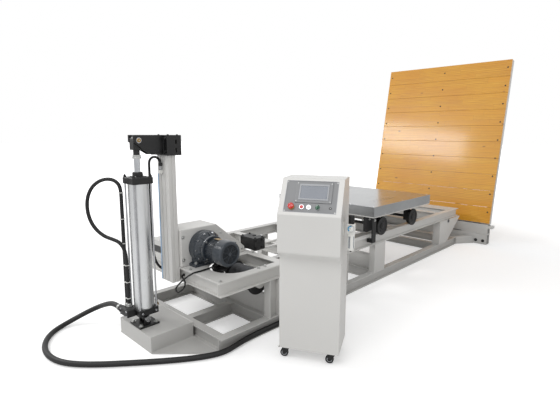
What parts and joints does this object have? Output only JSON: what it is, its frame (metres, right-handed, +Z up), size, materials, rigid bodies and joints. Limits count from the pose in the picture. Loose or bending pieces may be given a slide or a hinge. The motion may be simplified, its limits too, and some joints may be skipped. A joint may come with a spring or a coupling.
{
  "type": "incline impact tester",
  "caption": "Package impact tester: rails on a floor frame tip up on an air cylinder so a wheeled deck runs down into a leaning board-faced barrier, with winch and control console.",
  "frame": {"origin": "centre of the base frame on the floor, in the middle of its four anchor bolts", "axes": "+X along the rails towards the barrier, +Y across to the side away from the console, +Z up"},
  "size_m": [5.874, 2.2375, 2.4961],
  "materials": {
    "frame_grey": "light grey satin paint",
    "pale_grey": "pale warm grey paint, lightly textured",
    "galvanised": "matt zinc sheet",
    "board": "brown varnished boards",
    "black_metal": "black satin",
    "cast_black": "black coated casting",
    "motor_blue": "dark blue-grey paint",
    "bare_aluminium": "drawn aluminium",
    "chrome_rod": "hard chrome",
    "steel": "bright steel",
    "brass_pin": "dull brass",
    "black_rubber": "black rubber",
    "black_plastic": "black moulded plastic",
    "screen_glass": "dark display glass",
    "red_plastic": "red",
    "white_plastic": "milky white",
    "clear_bowl": "clear bowl in a guard",
    "pale_blue": "pale blue graduated strip"
  },
  "bodies": {
    "base": {"base_beams": "frame_grey", "base_cross_beams": "frame_grey", "nose_box": "frame_grey", "support_posts": "frame_grey", "pivot_brackets": "frame_grey", "hinge_pins": "steel", "barrier_foot": "frame_grey", "barrier_frame": "frame_grey", "barrier_boards": "board", "cylinder_foot": "cast_black", "console_cabinet": "pale_grey", "control_plate": "bare_aluminium", "touch_screen": "black_plastic", "switch_collars": "black_plastic", "regulator_body": "black_plastic", "regulator_bowl": "clear_bowl", "main_air_hose": "black_rubber", "rear_caster_forks": "steel"},
    "cylinder_body": {"rear_cap": "cast_black", "barrel": "bare_aluminium", "front_cap": "cast_black", "tie_rods": "steel", "air_fittings": "cast_black", "loop_hose": "black_rubber"},
    "cylinder_rod": {"piston": "bare_aluminium", "piston_rod": "chrome_rod", "rod_clevis": "cast_black"},
    "rail_frame": {"rail_beams": "frame_grey", "rail_cross_members": "frame_grey", "winch_table": "frame_grey", "lift_column": "pale_grey", "lift_head": "black_metal", "head_pin": "brass_pin", "gearbox": "motor_blue", "motor": "motor_blue", "chain_guard": "pale_grey", "column_strip": "pale_blue", "motor_cable": "black_rubber", "arc_hose": "black_rubber"},
    "drum": {"winch_drum": "steel"},
    "drive": {"drive_sprocket": "steel"},
    "carriage": {"catch_carriage": "black_metal"},
    "hook": {"catch_hook": "black_metal"},
    "dolly": {"deck_frame": "frame_grey", "deck_plate": "galvanised", "axle_brackets": "black_metal"},
    "front_wheels": {"front_wheelset": "steel"},
    "rear_wheels": {"rear_wheelset": "steel"},
    "door": {"console_door": "pale_grey"},
    "estop": {"estop_head": "red_plastic"},
    "red_push": {"red_button": "red_plastic"},
    "white_push": {"white_button": "white_plastic"},
    "selector": {"selector_knob": "black_plastic"},
    "pressure_knob": {"regulator_knob": "black_plastic"},
    "front_left_fork": {"front_left_caster_fork": "steel"},
    "front_right_fork": {"front_right_caster_fork": "steel"},
    "front_left_roller": {"front_left_caster_wheel": "black_plastic"},
    "front_right_roller": {"front_right_caster_wheel": "black_plastic"},
    "rear_left_roller": {"rear_left_caster_wheel": "black_plastic"},
    "rear_right_roller": {"rear_right_caster_wheel": "black_plastic"}
  },
  "joints": [
    {"name": "rail_lift", "type": "hinge", "parent": "base", "child": "rail_frame", "pos_m": [1.683, 0, 0.38], "axis": [0, 1, 0], "range_deg": [0, 10]},
    {"name": "cylinder_tilt", "type": "hinge", "parent": "base", "child": "cylinder_body", "pos_m": [-2.292, 0, 0.172], "axis": [0, 1, 0], "range_deg": [0, 7.3]},
    {"name": "rod_extend", "type": "slide", "parent": "cylinder_body", "child": "cylinder_rod", "axis": [0, 0, 1], "range_m": [0, 0.7]},
    {"name": "dolly_travel", "type": "slide", "parent": "rail_frame", "child": "dolly", "axis": [1, 0, 0], "range_m": [-0.9, 1.303]},
    {"name": "front_wheel_spin", "type": "hinge", "parent": "dolly", "child": "front_wheels", "pos_m": [0.669, 0, 0.5783], "axis": [0, 1, 0], "range_deg": [-700, 1000]},
    {"name": "rear_wheel_spin", "type": "hinge", "parent": "dolly", "child": "rear_wheels", "pos_m": [0.01, 0, 0.5783], "axis": [0, 1, 0], "range_deg": [-700, 1000]},
    {"name": "carriage_travel", "type": "slide", "parent": "rail_frame", "child": "carriage", "axis": [1, 0, 0], "range_m": [0, 0.9]},
    {"name": "hook_swing", "type": "hinge", "parent": "carriage", "child": "hook", "pos_m": [-1.274, -0.08, 0.5753], "axis": [0, -1, 0], "range_deg": [0, 35]},
    {"name": "drum_spin", "type": "hinge", "parent": "rail_frame", "child": "drum", "pos_m": [-1.6, 0, 0.385], "axis": [0, 1, 0], "range_deg": [0, 660]},
    {"name": "drive_spin", "type": "hinge", "parent": "rail_frame", "child": "drive", "pos_m": [-1.84, 0, 0.64], "axis": [0, 1, 0], "range_deg": [0, 660]},
    {"name": "door_swing", "type": "hinge", "parent": "base", "child": "door", "pos_m": [-1.36426, -1.0915, 0], "axis": [0, 0, -1], "range_deg": [0, 110]},
    {"name": "estop_press", "type": "slide", "parent": "base", "child": "estop", "axis": [0.7578, 0.3945, -0.5197], "range_m": [0, 0.003], "stiffness_N_per_m": 1500},
    {"name": "red_press", "type": "slide", "parent": "base", "child": "red_push", "axis": [0.7578, 0.3945, -0.5197], "range_m": [0, 0.003], "stiffness_N_per_m": 800},
    {"name": "white_press", "type": "slide", "parent": "base", "child": "white_push", "axis": [0.7578, 0.3945, -0.5197], "range_m": [0, 0.003], "stiffness_N_per_m": 800},
    {"name": "selector_turn", "type": "hinge", "parent": "base", "child": "selector", "pos_m": [-1.7109, -1.12764, 1.05255], "axis": [-0.7578, -0.3945, 0.5197], "range_deg": [-45, 45]},
    {"name": "pressure_turn", "type": "hinge", "parent": "base", "child": "pressure_knob", "pos_m": [-1.53182, -1.25538, 0.946], "axis": [0, 0, 1], "range_deg": [-720, 720]},
    {"name": "front_left_swivel", "type": "hinge", "parent": "base", "child": "front_left_fork", "pos_m": [-1.73472, -0.90893, 0], "axis": [0, 0, 1], "continuous": true},
    {"name": "front_left_roll", "type": "hinge", "parent": "front_left_fork", "child": "front_left_roller", "pos_m": [-1.74488, -0.88941, 0.028], "axis": [-0.887, -0.4617, 0], "continuous": true},
    {"name": "front_right_swivel", "type": "hinge", "parent": "base", "child": "front_right_fork", "pos_m": [-1.59158, -1.1839, 0], "axis": [0, 0, 1], "continuous": true},
    {"name": "front_right_roll", "type": "hinge", "parent": "front_right_fork", "child": "front_right_roller", "pos_m": [-1.60174, -1.16439, 0.028], "axis": [-0.887, -0.4617, 0], "continuous": true},
    {"name": "rear_left_roll", "type": "hinge", "parent": "base", "child": "rear_left_roller", "pos_m": [-1.5857, -0.83135, 0.028], "axis": [0.4617, -0.887, 0], "continuous": true},
    {"name": "rear_right_roll", "type": "hinge", "parent": "base", "child": "rear_right_roller", "pos_m": [-1.44256, -1.10633, 0.028], "axis": [0.4617, -0.887, 0], "continuous": true}
  ],
  "couplings": [
    {"joint": "cylinder_tilt", "follows": "rail_lift", "ratio": 0.7187},
    {"joint": "rod_extend", "follows": "rail_lift", "m_per_rad": 3.9503},
    {"joint": "front_wheel_spin", "follows": "dolly_travel", "rad_per_m": 12.987},
    {"joint": "rear_wheel_spin", "follows": "dolly_travel", "rad_per_m": 12.987},
    {"joint": "drum_spin", "follows": "carriage_travel", "rad_per_m": 12.5},
    {"joint": "drive_spin", "follows": "carriage_travel", "rad_per_m": 12.5}
  ]
}
